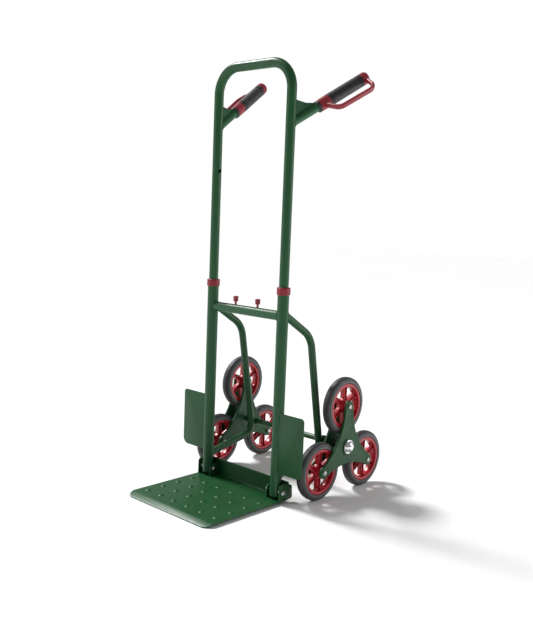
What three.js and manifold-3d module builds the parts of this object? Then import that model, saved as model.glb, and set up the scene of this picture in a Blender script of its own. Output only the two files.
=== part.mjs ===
// Stair-climbing hand truck: a telescopic two-tube frame with a folding toe plate,
// two guarded hand grips and two three-wheel stars on one axle.
// Millimetres, +Z up. The floor is z = 0 and the footprint is centred on the origin.
import * as THREE from 'three';
import { mergeVertices } from 'three/addons/utils/BufferGeometryUtils.js';
import Module from 'manifold-3d';

const wasm = await Module();
wasm.setup();

// ---------------------------------------------------------------- driving dimensions

const GAP = 0.3; // air between pieces that touch on the real object
const SLIP = 0.4; // running clearance between pieces that slide or turn
const DEGREE = Math.PI / 180;

// Frame
const OVERALL_HEIGHT = 1140;
const TUBE_SPACING = 262; // between the centre lines of the two uprights
const TUBE_X = TUBE_SPACING / 2;
const LOWER_TUBE = { radius: 15, bore: 13, foot: 17, top: 563 };
const UPPER_TUBE = { radius: 12.5, bore: 10.7, bottom: 452, bend: 68 };
const CROSSBAR = { radius: 12.5, bore: 10.4, height: 492, web: 2 };
const HANDLE_TRAVEL = 367; // from fully raised to fully lowered
const COLLAR = { radius: 17.8, bottom: 547, top: 566 };
const GUARD = { inner: 140, outer: 227.5, bottom: 82, top: 242, front: -10, thick: 2 };
const GUARD_CORNER = { lower: 18, upper: 10 };
const BUSH = { radius: 12.5, bore: 7, below: 12, above: 18 };
const STRUT = { radius: 10, bore: 8, upperBend: 70, lowerBend: 30 };
const STRUT_CORNERS = [[0, 500], [116, 428], [175, 105], [0, 68]]; // behind the tube, height

// Lock in the crossbar
const LOCK = { knobX: 41, stroke: 10, pin: 5, pinTip: 118, plunger: 9.9, halfPlunger: 11 };
const SLOT_HALF_WIDTH = 3.7; // the slot in the crossbar that each knob's stem slides along
const SPRING = { radius: 7.5, wire: 0.8, turns: 5, stepsPerTurn: 6 };
const KNOB = { stem: 3, radius: 7, foot: 1, top: 527 };

// Toe plate
const SHEET = 2.5;
const TOE = { halfWidth: 157, front: -266, fold: -244, rear: 23.5, top: 9.5, corner: 24 };
const TOE_UPSTAND_TOP = 56.5;
const TOE_LIP = 15.4; // how far behind the tube's axis the upstand's stop lip ends
const PIVOT = { height: 30, radius: 4 };
const OUTER_EAR = [[-14, 8], [-12, 48], [-6, 54], [6, 54.5], [36, 44], [38, 40], [37, 12], [32, 8]];
const INNER_EAR = [[-12, 8], [-12, 36], [-4, 44], [22, 44], [22, 8]];
const INNER_EAR_X = 109;

// Wheels and stars
const WHEEL_RADIUS = 78;
const TYRE = { inner: 58.3, shoulder: 70, tread: 12, width: 26 };
const RIM = { outer: 58, inner: 54, width: 23, hub: 12, hubWidth: 38, web: 8, windows: 6 };
const WHEEL_X = 193;
const STAR = { arm: 110, armEnd: 16, waist: 47, plate: 2.5, flange: 4, sleeve: 12, arcSteps: 4 };
const STAR_FACES = { outer: 217, inner: 169.5 }; // outsides of the two plates, from the middle
const ARM_ANGLES = [90, 210, 330].map((degrees) => degrees * DEGREE); // top, front, rear
const WHEEL_SIDES = 16;
const WHEEL_BOLT = { radius: 4, head: 6.5 };
const AXLE = { radius: 8, journal: 7, end: 221.2, behind: 191 };
const AXLE_HEIGHT = WHEEL_RADIUS + STAR.arm / 2;
const CAP = { radius: 19.5, height: 14 };
const LUG = { radius: 13, thick: 5, front: 165 };

// Hand grips: distances are measured along the grip's axis from the upright's centre line
const GRIP = { root: 974, rise: 31 * DEGREE, splay: 14 * DEGREE, droop: 16 * DEGREE };
const STUB = { radius: 11, bore: 9, end: 96.5 };
const GRIP_STATIONS = { spigot: 55, collar: 97, sleeve: 129, cap: 248, tip: 270 };
const GRIP_RADIUS = 16.5;
const GRIP_CORE_RADIUS = 10.8;
const LOOP = { width: 13, thick: 8, bend: 12 };
const LOOP_CORNERS = [[10, 111], [61, 115], [66, 222], [52, 243], [10, 261]]; // outward, along
const GUSSET = { thick: 3, top: 61, reach: 68, reachHeight: 54 };

// The rear wheel and the toe plate's front edge set the footprint's length
const REAR_REACH = AXLE.behind + STAR.arm * Math.cos(30 * DEGREE) + WHEEL_RADIUS;
const TUBE_Y = -(TOE.front + REAR_REACH) / 2;

// ---------------------------------------------------------------- finishes

const FINISHES = {
  greenPaint: { color: 0x1f5a35, roughness: 0.42, metalness: 0.1 },
  redPlastic: { color: 0xa51c2c, roughness: 0.38, metalness: 0 },
  rimRed: { color: 0x9c1220, roughness: 0.28, metalness: 0 },
  blackGrip: { color: 0x262524, roughness: 0.75, metalness: 0 },
  blackPlastic: { color: 0x1c1d1c, roughness: 0.5, metalness: 0 },
  tyre: { color: 0x37383a, roughness: 0.8, metalness: 0 },
  zinc: { color: 0xc4c6c4, roughness: 0.35, metalness: 0.9 },
  chrome: { color: 0xe6e8ea, roughness: 0.08, metalness: 1 },
  springSteel: { color: 0x8d8f92, roughness: 0.4, metalness: 0.9 },
};

// ---------------------------------------------------------------- geometry helpers

// Turns every face round when a closed surface was wound inside out.
function outward(geometry) {
  const indexed = geometry.index ? geometry : mergeVertices(geometry);
  const position = indexed.attributes.position;
  const index = indexed.index.array;
  const [a, b, c] = [new THREE.Vector3(), new THREE.Vector3(), new THREE.Vector3()];
  let volume = 0;
  for (let i = 0; i < index.length; i += 3) {
    a.fromBufferAttribute(position, index[i]);
    b.fromBufferAttribute(position, index[i + 1]);
    c.fromBufferAttribute(position, index[i + 2]);
    volume += a.dot(b.cross(c));
  }
  if (volume < 0) {
    for (let i = 0; i < index.length; i += 3) {
      [index[i], index[i + 1]] = [index[i + 1], index[i]];
    }
  }
  return indexed;
}

// Shares vertices by position and drops the empty triangles that a lathe leaves on its axis.
function welded(geometry) {
  const bare = geometry.clone();
  bare.deleteAttribute('normal');
  bare.deleteAttribute('uv');
  const merged = mergeVertices(bare, 1e-4);
  const index = merged.index.array;
  const kept = [];
  for (let i = 0; i < index.length; i += 3) {
    const [a, b, c] = [index[i], index[i + 1], index[i + 2]];
    if (a !== b && b !== c && c !== a) kept.push(a, b, c);
  }
  merged.setIndex(kept);
  return outward(merged);
}

function toSolid(geometry) {
  const mesh = welded(geometry);
  return new wasm.Manifold(new wasm.Mesh({
    numProp: 3,
    vertProperties: new Float32Array(mesh.attributes.position.array),
    triVerts: new Uint32Array(mesh.index.array),
  }));
}

function toGeometry(solid) {
  const mesh = solid.getMesh();
  const geometry = new THREE.BufferGeometry();
  geometry.setAttribute('position', new THREE.BufferAttribute(mesh.vertProperties, 3));
  geometry.setIndex(new THREE.BufferAttribute(mesh.triVerts, 1));
  return geometry;
}

function cut(body, ...tools) {
  return toGeometry(tools.reduce((solid, tool) => solid.subtract(toSolid(tool)), toSolid(body)));
}

function join(body, ...others) {
  return toGeometry(others.reduce((solid, other) => solid.add(toSolid(other)), toSolid(body)));
}

function common(body, other) {
  return toGeometry(toSolid(body).intersect(toSolid(other)));
}

function mirrored(geometry) {
  return outward(welded(geometry).scale(-1, 1, 1));
}

function forSide(geometry, side) {
  return side > 0 ? geometry : mirrored(geometry);
}

// A turned solid. The profile is a list of [distance along the axis, radius].
function turnedY(profile, sides) {
  const closed = profile[0][1] === 0 ? profile : [...profile, profile[0]];
  const points = closed.map(([along, radius]) => new THREE.Vector2(radius, along));
  return welded(new THREE.LatheGeometry(points, sides));
}

const turnedX = (profile, sides) => turnedY(profile, sides).rotateZ(-Math.PI / 2);
const turnedZ = (profile, sides) => turnedY(profile, sides).rotateX(Math.PI / 2);

// A round rod or a ring between two stations of an axis.
function barProfile(from, to, radius, bore = 0) {
  return [[from, bore], [from, radius], [to, radius], [to, bore]];
}

// A flat outline of [across, up] points, thickened from `from` to `to` along X.
function slabX(outline, from, to, holes = []) {
  const shape = new THREE.Shape(outline.map(([y, z]) => new THREE.Vector2(y, z)));
  holes.forEach((hole) => shape.holes.push(new THREE.Path(hole)));
  const slab = new THREE.ExtrudeGeometry(shape, { depth: to - from, bevelEnabled: false });
  slab.translate(0, 0, from);
  // The outline's plane turns from XY to YZ, and its depth from Z to X.
  slab.applyMatrix4(new THREE.Matrix4().makeBasis(
    new THREE.Vector3(0, 1, 0), new THREE.Vector3(0, 0, 1), new THREE.Vector3(1, 0, 0)));
  return slab;
}

function block(x0, x1, y0, y1, z0, z1) {
  const box = new THREE.BoxGeometry(x1 - x0, y1 - y0, z1 - z0);
  return box.translate((x0 + x1) / 2, (y0 + y1) / 2, (z0 + z1) / 2);
}

function circlePoints(radius, sides, centreY = 0, centreZ = 0) {
  return Array.from({ length: sides }, (_, i) => {
    const angle = (i / sides) * 2 * Math.PI;
    return new THREE.Vector2(centreY + radius * Math.cos(angle), centreZ + radius * Math.sin(angle));
  });
}

// A route of straight stretches joined by circular bends, with stations only where it turns.
class BentPath extends THREE.Curve {
  constructor(corners, bendRadii, stepsPerBend) {
    super();
    this.stations = [];
    const last = corners.length - 1;
    const direction = (i) => corners[i + 1].clone().sub(corners[i]).normalize();
    this.stations.push([corners[0].clone(), direction(0)]);
    for (let i = 1; i < last; i += 1) {
      this.addBend(corners[i], direction(i - 1), direction(i), bendRadii[i - 1], stepsPerBend);
    }
    this.stations.push([corners[last].clone(), direction(last - 1)]);
    this.steps = this.stations.length - 1;
  }

  addBend(corner, before, after, radius, steps) {
    const turn = before.angleTo(after);
    const start = corner.clone().addScaledVector(before, -radius * Math.tan(turn / 2));
    const inward = after.clone().addScaledVector(before, -after.dot(before)).normalize();
    for (let i = 0; i <= steps; i += 1) {
      const angle = (turn * i) / steps;
      const point = start.clone().addScaledVector(before, radius * Math.sin(angle));
      point.addScaledVector(inward, radius * (1 - Math.cos(angle)));
      const tangent = before.clone().multiplyScalar(Math.cos(angle));
      this.stations.push([point, tangent.addScaledVector(inward, Math.sin(angle))]);
    }
  }

  getPointAt(t, target = new THREE.Vector3()) {
    return target.copy(this.stations[Math.round(t * this.steps)][0]);
  }

  getTangentAt(t, target = new THREE.Vector3()) {
    return target.copy(this.stations[Math.round(t * this.steps)][1]);
  }
}

function bentBar(path, section, bore) {
  const shape = new THREE.Shape(section);
  if (bore) shape.holes.push(new THREE.Path(bore));
  return welded(new THREE.ExtrudeGeometry(shape, {
    extrudePath: path, steps: path.steps, bevelEnabled: false,
  }));
}

const rodX = (radius, from, to, y, z, sides = 12) =>
  turnedX(barProfile(from, to, radius), sides).translate(0, y, z);

const rodZ = (radius, from, to, x, sides = 20) =>
  turnedZ(barProfile(from, to, radius), sides).translate(x, 0, 0);

// The room an upright takes out of whatever is welded to it.
const lowerTubeRoom = () => rodZ(LOWER_TUBE.radius + GAP, 0, LOWER_TUBE.top, TUBE_X);

// The hole for a lock pin through the wall of a tube that faces the middle of the truck.
const pinHole = (height) => rodX(LOCK.pin + SLIP, CROSSBAR.radius, TUBE_X, 0, height);

// The bore for the toe plate's pivot bolts, right across the truck.
const pivotBore = () => rodX(PIVOT.radius + GAP, -TUBE_SPACING, TUBE_SPACING, 0, PIVOT.height);

// ---------------------------------------------------------------- lower frame

function lowerTube() {
  const { radius, bore, foot, top } = LOWER_TUBE;
  const tube = turnedZ(barProfile(foot, top, radius, bore), 20).translate(TUBE_X, 0, 0);
  return cut(tube, pinHole(CROSSBAR.height), pivotBore());
}

function crossbar() {
  const { radius, bore, height, web } = CROSSBAR;
  const tube = turnedX(barProfile(-TUBE_X, TUBE_X, radius, bore), 14);
  const stopRadius = (radius + bore) / 2;
  const stop = turnedX([[-web, 0], [-web, stopRadius], [web, stopRadius], [web, 0]], 14);
  const half = SLOT_HALF_WIDTH;
  const slotFrom = LOCK.knobX - LOCK.stroke - half;
  const slot = block(slotFrom, LOCK.knobX + half, -half, half, bore / 2, radius + 1);
  const bar = join(tube, stop).translate(0, 0, height);
  slot.translate(0, 0, height);
  return cut(bar, slot, mirrored(slot), lowerTubeRoom(), mirrored(lowerTubeRoom()));
}

function strutPath() {
  const corners = STRUT_CORNERS.map(([y, z]) => new THREE.Vector3(TUBE_X, y, z));
  return new BentPath(corners, [STRUT.upperBend, STRUT.lowerBend], 5);
}

function strut() {
  const tube = bentBar(strutPath(), circlePoints(STRUT.radius, 10), circlePoints(STRUT.bore, 10));
  const room = CROSSBAR.radius + GAP;
  const crossbarRoom = turnedX([[-TUBE_X, 0], [-TUBE_X, room], [TUBE_X, room], [TUBE_X, 0]], 14);
  return cut(tube, lowerTubeRoom(), crossbarRoom.translate(0, 0, CROSSBAR.height));
}

// The lug holds the axle behind the strut's lower bend.
function axleLug() {
  const outline = circlePoints(LUG.radius, 20).filter((point) => point.x > 0);
  outline.sort((a, b) => a.y - b.y);
  const points = outline.map((point) => [AXLE.behind + point.x, AXLE_HEIGHT + point.y]);
  points.push([LUG.front, AXLE_HEIGHT + LUG.radius], [LUG.front, AXLE_HEIGHT - LUG.radius]);
  const from = TUBE_X - LUG.thick / 2;
  const plate = slabX(points, from, from + LUG.thick);
  const strutRoom = bentBar(strutPath(), circlePoints(STRUT.radius + GAP, 10));
  const bore = rodX(AXLE.radius + GAP, 0, AXLE.end, AXLE.behind, AXLE_HEIGHT, 16);
  return cut(plate, strutRoom, bore);
}

function wheelGuard() {
  const { inner, outer, bottom, top, front, thick } = GUARD;
  const { lower, upper } = GUARD_CORNER;
  const shape = new THREE.Shape();
  shape.moveTo(inner, bottom);
  shape.lineTo(outer - lower, bottom);
  shape.absarc(outer - lower, bottom + lower, lower, -Math.PI / 2, 0);
  shape.absarc(outer - upper, top - upper, upper, 0, Math.PI / 2);
  shape.lineTo(inner, top);
  const plate = new THREE.ExtrudeGeometry(shape, {
    depth: thick, bevelEnabled: false, curveSegments: 5,
  });
  plate.rotateX(Math.PI / 2).translate(0, front + thick, 0);
  return cut(plate, lowerTubeRoom());
}

function slideCollar() {
  const { radius, bottom, top } = COLLAR;
  const seat = LOWER_TUBE.radius + GAP;
  const lip = LOWER_TUBE.top + GAP;
  const throat = UPPER_TUBE.radius + SLIP;
  return turnedZ([
    [bottom, seat], [bottom, radius], [top - 1.5, radius], [top, radius - 1.5],
    [top, throat], [lip, throat], [lip, seat],
  ], 20);
}

function axle() {
  const { radius, journal, end } = AXLE;
  const shoulder = STAR_FACES.inner - GAP;
  return turnedX([
    [-end, 0], [-end, journal], [-shoulder, journal], [-shoulder, radius],
    [shoulder, radius], [shoulder, journal], [end, journal], [end, 0],
  ], 16);
}

// A domed push-on cap with a blind socket for the axle's end.
function axleCap() {
  const base = STAR_FACES.outer + 0.4;
  const tip = base + CAP.height;
  const socket = AXLE.journal + GAP;
  const socketEnd = AXLE.end + GAP;
  return turnedX([
    [socketEnd, 0], [socketEnd, socket], [base, socket], [base, CAP.radius],
    [base + 3, CAP.radius], [base + 8, CAP.radius - 3.5], [base + 12, CAP.radius - 10],
    [tip, 0],
  ], 20);
}

// ---------------------------------------------------------------- lock

function lockPin() {
  const from = LOCK.knobX - LOCK.halfPlunger;
  const to = LOCK.knobX + LOCK.halfPlunger;
  const pin = turnedX([
    [from, 0], [from, LOCK.plunger], [to, LOCK.plunger], [to, LOCK.pin],
    [LOCK.pinTip - 1.5, LOCK.pin], [LOCK.pinTip, LOCK.pin - 1.5], [LOCK.pinTip, 0],
  ], 16);
  const stemHole = rodZ(KNOB.stem + GAP, KNOB.foot - GAP, LOCK.plunger + 1, LOCK.knobX, 12);
  return cut(pin, stemHole);
}

function lockKnob() {
  const seat = CROSSBAR.radius + 0.5;
  const top = KNOB.top - CROSSBAR.height;
  return turnedZ([
    [KNOB.foot, 0], [KNOB.foot, KNOB.stem], [seat, KNOB.stem], [seat, KNOB.radius - 2],
    [seat + 3, KNOB.radius - 2], [top - 7, KNOB.radius], [top - 1, KNOB.radius - 0.4],
    [top, KNOB.radius - 1.5], [top, 0],
  ], 12);
}

// A compression spring on the crossbar's axis, from the central web to the plunger.
class HelixPath extends THREE.Curve {
  constructor(from, to) {
    super();
    this.from = from;
    this.to = to;
    this.steps = SPRING.turns * SPRING.stepsPerTurn;
  }

  getPoint(t, target = new THREE.Vector3()) {
    const angle = t * SPRING.turns * 2 * Math.PI;
    const x = THREE.MathUtils.lerp(this.from, this.to, t);
    return target.set(x, SPRING.radius * Math.cos(angle), SPRING.radius * Math.sin(angle));
  }
}

function lockSpring() {
  const room = 2 * SPRING.wire;
  const path = new HelixPath(CROSSBAR.web + room, LOCK.knobX - LOCK.halfPlunger - room);
  return bentBar(path, circlePoints(SPRING.wire, 5));
}

// ---------------------------------------------------------------- telescopic upper frame

function upperFrame() {
  const { radius, bore, bottom, bend } = UPPER_TUBE;
  const barHeight = OVERALL_HEIGHT - radius;
  const corners = [[TUBE_X, bottom], [TUBE_X, barHeight], [-TUBE_X, barHeight], [-TUBE_X, bottom]]
    .map(([x, z]) => new THREE.Vector3(x, 0, z));
  const tube = bentBar(new BentPath(corners, [bend, bend], 6),
    circlePoints(radius, 12), circlePoints(bore, 12));
  const holes = [];
  for (const height of [CROSSBAR.height, CROSSBAR.height + HANDLE_TRAVEL]) {
    holes.push(pinHole(height), mirrored(pinHole(height)));
  }
  return cut(tube, ...holes);
}

// A plastic end plug that centres the inner tube in the outer one.
function glideBush() {
  const end = UPPER_TUBE.bottom;
  const [foot, shoulder, top] = [end - BUSH.below, end - GAP, end + BUSH.above];
  const spigot = UPPER_TUBE.bore - GAP;
  return turnedZ([
    [foot, BUSH.bore], [foot, BUSH.radius], [shoulder, BUSH.radius], [shoulder, spigot],
    [top, spigot], [top, BUSH.bore],
  ], 12);
}

// ---------------------------------------------------------------- hand grips

const gripTurn = new THREE.Euler(GRIP.rise, 0, -GRIP.splay, 'ZXY');
const tubeRoomFromGrip = () => {
  const room = rodZ(UPPER_TUBE.radius + GAP, -150, 150, 0, 14);
  return room.applyMatrix4(new THREE.Matrix4().makeRotationFromEuler(gripTurn).invert());
};

function handleStub() {
  return cut(turnedY(barProfile(0, STUB.end, STUB.radius, STUB.bore), 14), tubeRoomFromGrip());
}

// Upright distances become distances along and above the sloping stub.
function alongGrip([outward, up]) {
  const [cos, sin] = [Math.cos(GRIP.rise), Math.sin(GRIP.rise)];
  return [outward * cos + up * sin, up * cos - outward * sin];
}

function handleGusset() {
  const outline = [[4, 10], [4, GUSSET.top], [GUSSET.reach, GUSSET.reachHeight], [60, 36]];
  const plate = slabX(outline.map(alongGrip), -GUSSET.thick / 2, GUSSET.thick / 2);
  const stubRoom = turnedY(barProfile(0, STUB.end, STUB.radius + GAP), 14);
  return cut(plate, tubeRoomFromGrip(), stubRoom);
}

function stubRing() {
  const seat = STUB.radius + GAP;
  const [from, to] = [STUB.end - 8, STUB.end + 0.2];
  return turnedY([[from, seat], [from, 15], [from + 1.5, 16], [to, 16], [to, seat]], 14);
}

function gripCore() {
  const { spigot, collar, sleeve, cap, tip } = GRIP_STATIONS;
  const spigotRadius = STUB.bore - 0.4;
  const core = turnedY([
    [spigot, 0], [spigot, spigotRadius], [collar, spigotRadius], [collar, GRIP_RADIUS - 0.7],
    [sleeve, GRIP_RADIUS - 0.2], [sleeve, GRIP_CORE_RADIUS], [cap, GRIP_CORE_RADIUS],
    [cap, GRIP_RADIUS], [tip - 7, GRIP_RADIUS], [tip - 2, GRIP_RADIUS - 4.5],
    [tip, GRIP_RADIUS - 10], [tip, 0],
  ], 14);
  return join(core, knuckleLoop());
}

// The loop round the fingers lies in the grip's own XY plane.
function knuckleLoop() {
  const corners = LOOP_CORNERS.map(([x, y]) => new THREE.Vector3(x, y, 0));
  const path = new BentPath(corners, [LOOP.bend, LOOP.bend, LOOP.bend], 3);
  const [w, t] = [LOOP.width / 2, LOOP.thick / 2];
  const section = [[w, -1], [w, 1], [w - 3, t], [3 - w, t], [-w, 1], [-w, -1], [3 - w, -t], [w - 3, -t]];
  return bentBar(path, section.map(([x, y]) => new THREE.Vector2(x, y)));
}

function gripSleeve() {
  const [from, to] = [GRIP_STATIONS.sleeve + GAP, GRIP_STATIONS.cap - GAP];
  const bore = GRIP_CORE_RADIUS + 0.4;
  return turnedY([
    [from, bore], [from, GRIP_RADIUS - 1], [from + 2, GRIP_RADIUS], [to - 2, GRIP_RADIUS],
    [to, GRIP_RADIUS - 1], [to, bore],
  ], 14);
}

// ---------------------------------------------------------------- folding toe plate

// The bent sheet seen from the side: ramp, floor, upstand and the lip that stops on the tubes.
function toeSheet() {
  const { halfWidth, front, fold, rear, top, corner } = TOE;
  const under = top - SHEET;
  const profile = [
    [front, 0], [fold, under], [rear, under], [rear, TOE_UPSTAND_TOP],
    [TOE_LIP, TOE_UPSTAND_TOP], [TOE_LIP, TOE_UPSTAND_TOP - SHEET],
    [rear - SHEET, TOE_UPSTAND_TOP - SHEET], [rear - SHEET, top], [fold, top], [front, SHEET],
  ];
  const plan = new THREE.Shape();
  plan.moveTo(halfWidth, rear + 1);
  plan.lineTo(-halfWidth, rear + 1);
  plan.absarc(corner - halfWidth, front + corner, corner, Math.PI, 1.5 * Math.PI);
  plan.absarc(halfWidth - corner, front + corner, corner, 1.5 * Math.PI, 2 * Math.PI);
  const outline = new THREE.ExtrudeGeometry(plan, { depth: 90, bevelEnabled: false, curveSegments: 6 });
  outline.translate(0, 0, -5);
  return common(slabX(profile, -halfWidth, halfWidth), outline);
}

function toePlate() {
  const outerEar = slabX(OUTER_EAR, TOE.halfWidth - SHEET, TOE.halfWidth);
  const innerEar = slabX(INNER_EAR, INNER_EAR_X, INNER_EAR_X + SHEET);
  const blank = join(toeSheet(), outerEar, mirrored(outerEar), innerEar, mirrored(innerEar));
  return cut(blank, pivotBore());
}

// The pivot bolt with its spacer and nut, run through both ears and the tube's foot.
function toePivotBolt() {
  const shaft = PIVOT.radius;
  const nut = INNER_EAR_X - GAP;
  const spacer = [TUBE_X + LOWER_TUBE.radius + GAP, TOE.halfWidth - SHEET - GAP];
  const head = TOE.halfWidth + GAP;
  return turnedX([
    [nut - 7, 0], [nut - 7, shaft], [nut - 5.5, 6.5], [nut, 6.5], [nut, shaft],
    [spacer[0], shaft], [spacer[0], 6.5], [spacer[1], 6.5], [spacer[1], shaft],
    [head, shaft], [head, 6.5], [head + 2, 6], [head + 4, 3], [head + 4, 0],
  ], 12);
}

// ---------------------------------------------------------------- wheel stars

// Three rounded arms joined by concave arcs that are tangent to the arm ends.
function starOutline(inset) {
  const { arm, armEnd, waist } = STAR;
  const step = armEnd - waist;
  const hollowAt = (arm * arm - step * step) / (arm + 2 * step);
  const hollowRadius = hollowAt - waist + inset;
  const third = Math.PI / 3;
  const endHalf = Math.atan2(hollowAt * Math.sin(third), hollowAt * Math.cos(third) - arm);
  const hollowHalf = endHalf - third;
  const points = [];
  const addArc = (centre, at, radius, from, to, skip) => {
    for (let i = skip; i <= STAR.arcSteps - skip; i += 1) {
      const angle = THREE.MathUtils.lerp(from, to, i / STAR.arcSteps);
      points.push([
        centre * Math.cos(at) + radius * Math.cos(angle),
        centre * Math.sin(at) + radius * Math.sin(angle),
      ]);
    }
  };
  for (const at of ARM_ANGLES) {
    addArc(arm, at, armEnd - inset, at - endHalf, at + endHalf, 0);
    const back = at + third + Math.PI;
    addArc(hollowAt, at + third, hollowRadius, back + hollowHalf, back - hollowHalf, 1);
  }
  return points;
}

// A pressed plate whose edge is turned towards the wheels between `face` and `lip`.
function starPlate(face, lip) {
  const inward = Math.sign(lip - face);
  const span = [face, lip].sort((a, b) => a - b);
  const floor = face + inward * STAR.plate;
  const pocket = [floor, lip + inward].sort((a, b) => a - b);
  const blank = slabX(starOutline(0), span[0], span[1]);
  const hollow = slabX(starOutline(STAR.plate), pocket[0], pocket[1]);
  const hub = rodX(AXLE.journal + GAP, 0, 300, 0, 0, 16);
  const bolts = ARM_ANGLES.map((at) => rodX(
    WHEEL_BOLT.radius + GAP, 0, 300, STAR.arm * Math.cos(at), STAR.arm * Math.sin(at), 10));
  return cut(blank, hollow, hub, ...bolts);
}

const starOuterPlate = () => starPlate(STAR_FACES.outer, STAR_FACES.outer - STAR.plate - STAR.flange);
const starInnerPlate = () => starPlate(STAR_FACES.inner, STAR_FACES.inner + STAR.plate + STAR.flange);

function starHubSleeve() {
  const from = STAR_FACES.inner + STAR.plate + GAP;
  const to = STAR_FACES.outer - STAR.plate - GAP;
  return turnedX(barProfile(from, to, STAR.sleeve, AXLE.journal + GAP), 16);
}

// The wheel's pin: a button-headed bolt with its nut run on behind the inner plate.
function wheelBolt() {
  const { radius, head } = WHEEL_BOLT;
  const outside = STAR_FACES.outer + GAP;
  const inside = STAR_FACES.inner - GAP;
  return turnedX([
    [inside - 7, 0], [inside - 7, radius], [inside - 6, head], [inside, head], [inside, radius],
    [outside, radius], [outside, head], [outside + 2, head - 1], [outside + 4, 0],
  ], 10);
}

// ---------------------------------------------------------------- wheels

// One lightening window of the wheel's web, as [radius, degrees from its centre line].
const WINDOW = [[22, 0], [40, -20], [50.5, -14], [50.5, 14], [40, 20]];

function windowPoints(at) {
  return WINDOW.map(([radius, degrees]) => {
    const angle = at + degrees * DEGREE;
    return new THREE.Vector2(radius * Math.cos(angle), radius * Math.sin(angle));
  });
}

function rim() {
  const { outer, inner, width, hub, hubWidth, web, windows } = RIM;
  const ring = turnedX(barProfile(-width / 2, width / 2, outer, inner), WHEEL_SIDES);
  const core = turnedX(barProfile(-hubWidth / 2, hubWidth / 2, hub, WHEEL_BOLT.radius + GAP), 12);
  const disc = circlePoints(inner + 1, WHEEL_SIDES).map((point) => [point.x, point.y]);
  const holes = Array.from({ length: windows }, (_, i) => windowPoints((i * 2 * Math.PI) / windows));
  const plate = slabX(disc, -web / 2, web / 2, [circlePoints(hub - 2, 12), ...holes]);
  return join(ring, plate, core).translate(WHEEL_X, 0, 0);
}

function tyre() {
  const half = TYRE.width / 2;
  return turnedX([
    [1 - half, TYRE.inner], [-half, TYRE.shoulder], [-TYRE.tread / 2, WHEEL_RADIUS],
    [TYRE.tread / 2, WHEEL_RADIUS], [half, TYRE.shoulder], [half - 1, TYRE.inner],
  ], WHEEL_SIDES).translate(WHEEL_X, 0, 0);
}

// ---------------------------------------------------------------- assembly

const truck = new THREE.Group();
truck.position.y = TUBE_Y;

function addPart(group, name, geometry, finish) {
  const mesh = new THREE.Mesh(geometry, new THREE.MeshStandardMaterial(FINISHES[finish]));
  mesh.name = name;
  group.add(mesh);
}

function addGroup(parent, x, y, z) {
  const group = new THREE.Group();
  group.position.set(x, y, z);
  parent.add(group);
  return group;
}

// Lower frame, shared pieces
addPart(truck, 'crossbar', crossbar(), 'greenPaint');
addPart(truck, 'axle', axle().translate(0, AXLE.behind, AXLE_HEIGHT), 'greenPaint');
addPart(truck, 'upper_frame', upperFrame(), 'greenPaint');
addPart(truck, 'toe_plate', toePlate(), 'greenPaint');

const WHEEL_PLACES = ['top', 'front', 'rear'];

for (const [sideName, side] of [['left', -1], ['right', 1]]) {
  const add = (group, name, geometry, finish) =>
    addPart(group, `${name}_${sideName}`, forSide(geometry, side), finish);

  add(truck, 'lower_tube', lowerTube(), 'greenPaint');
  add(truck, 'strut', strut(), 'greenPaint');
  add(truck, 'axle_lug', axleLug(), 'greenPaint');
  add(truck, 'wheel_guard', wheelGuard(), 'greenPaint');
  add(truck, 'toe_pivot_bolt', toePivotBolt().translate(0, 0, PIVOT.height), 'zinc');

  const tubeAxis = addGroup(truck, side * TUBE_X, 0, 0);
  add(tubeAxis, 'slide_collar', slideCollar(), 'redPlastic');
  add(tubeAxis, 'glide_bush', glideBush(), 'blackPlastic');

  const lock = addGroup(truck, 0, 0, CROSSBAR.height);
  const knob = addGroup(lock, side * LOCK.knobX, 0, 0);
  add(lock, 'lock_pin', lockPin(), 'zinc');
  add(lock, 'lock_spring', lockSpring(), 'springSteel');
  add(knob, 'lock_knob', lockKnob(), 'redPlastic');

  const handle = addGroup(truck, side * TUBE_X, 0, GRIP.root);
  handle.rotation.set(GRIP.rise, 0, -side * GRIP.splay, 'ZXY');
  add(handle, 'handle_stub', handleStub(), 'greenPaint');
  add(handle, 'handle_gusset', handleGusset(), 'greenPaint');
  add(handle, 'stub_ring', stubRing(), 'blackPlastic');
  const grip = addGroup(handle, 0, 0, 0);
  grip.rotation.y = side * GRIP.droop;
  add(grip, 'grip_core', gripCore(), 'redPlastic');
  add(grip, 'grip_sleeve', gripSleeve(), 'blackGrip');

  const star = addGroup(truck, 0, AXLE.behind, AXLE_HEIGHT);
  add(star, 'axle_cap', axleCap(), 'chrome');
  add(star, 'star_outer_plate', starOuterPlate(), 'greenPaint');
  add(star, 'star_inner_plate', starInnerPlate(), 'greenPaint');
  add(star, 'star_hub_sleeve', starHubSleeve(), 'zinc');
  ARM_ANGLES.forEach((at, i) => {
    const wheel = addGroup(star, 0, STAR.arm * Math.cos(at), STAR.arm * Math.sin(at));
    add(wheel, `wheel_bolt_${WHEEL_PLACES[i]}`, wheelBolt(), 'zinc');
    add(wheel, `rim_${WHEEL_PLACES[i]}`, rim(), 'rimRed');
    add(wheel, `tyre_${WHEEL_PLACES[i]}`, tyre(), 'tyre');
  });
}

export default truck;
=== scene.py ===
import math

import bmesh
import bpy
from mathutils import Matrix, Vector


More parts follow.
